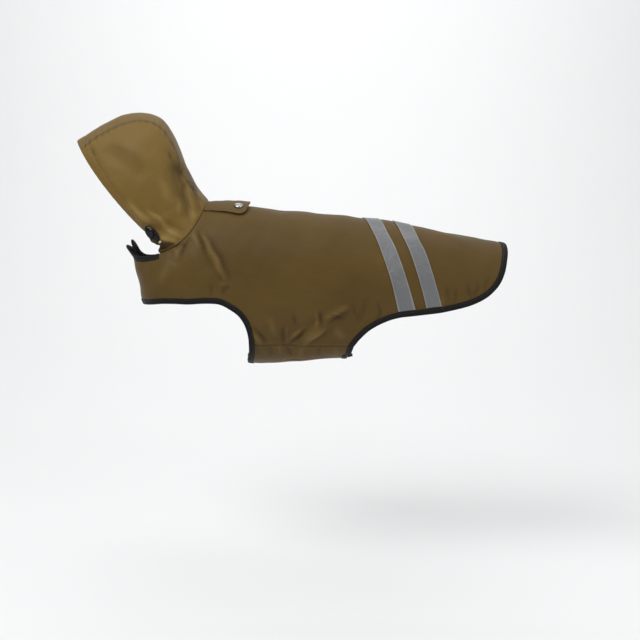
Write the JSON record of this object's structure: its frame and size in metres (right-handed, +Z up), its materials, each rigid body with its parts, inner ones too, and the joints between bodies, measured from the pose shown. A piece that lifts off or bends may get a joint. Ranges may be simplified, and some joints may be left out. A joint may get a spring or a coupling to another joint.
{
  "type": "hooded dog shell jacket",
  "caption": "Worn, hollow dog shell jacket: hooded back panel with wrapped fronts, belly straps, bound edges, reflective tape, neck tab and drawcord locks.",
  "frame": {"origin": "inner face of the back panel, on the centre line at the withers, where the wearer's back holds the coat up", "axes": "+X along the back towards the tail, +Y towards the wearer's right side, +Z up"},
  "size_m": [0.676, 0.1628, 0.3968],
  "materials": {
    "shell_cloth": "olive brown coated nylon, soft sheen",
    "hood_cloth": "olive brown coated nylon, soft sheen",
    "binding": "black woven fold-over binding",
    "reflective_tape": "matt grey reflective tape",
    "snap_metal": "bright pressed metal",
    "lock_plastic": "black gloss",
    "cord": "black braided cord"
  },
  "bodies": {
    "root": {"body_panel": "shell_cloth", "belly_strap_left": "shell_cloth", "belly_strap_right": "shell_cloth", "hood_side_left": "hood_cloth", "hood_side_right": "hood_cloth", "hood_crown": "hood_cloth", "front_binding_left": "binding", "front_binding_right": "binding", "rear_binding": "binding", "reflective_tape_front": "reflective_tape", "reflective_tape_rear": "reflective_tape", "neck_tab": "shell_cloth", "snap_cap": "snap_metal", "snap_stud": "snap_metal", "cord_lock_left": "lock_plastic", "cord_lock_right": "lock_plastic", "cord_lock_button_left": "lock_plastic", "cord_lock_button_right": "lock_plastic", "drawcord_knot_left": "cord", "drawcord_knot_right": "cord"}
  },
  "joints": []
}
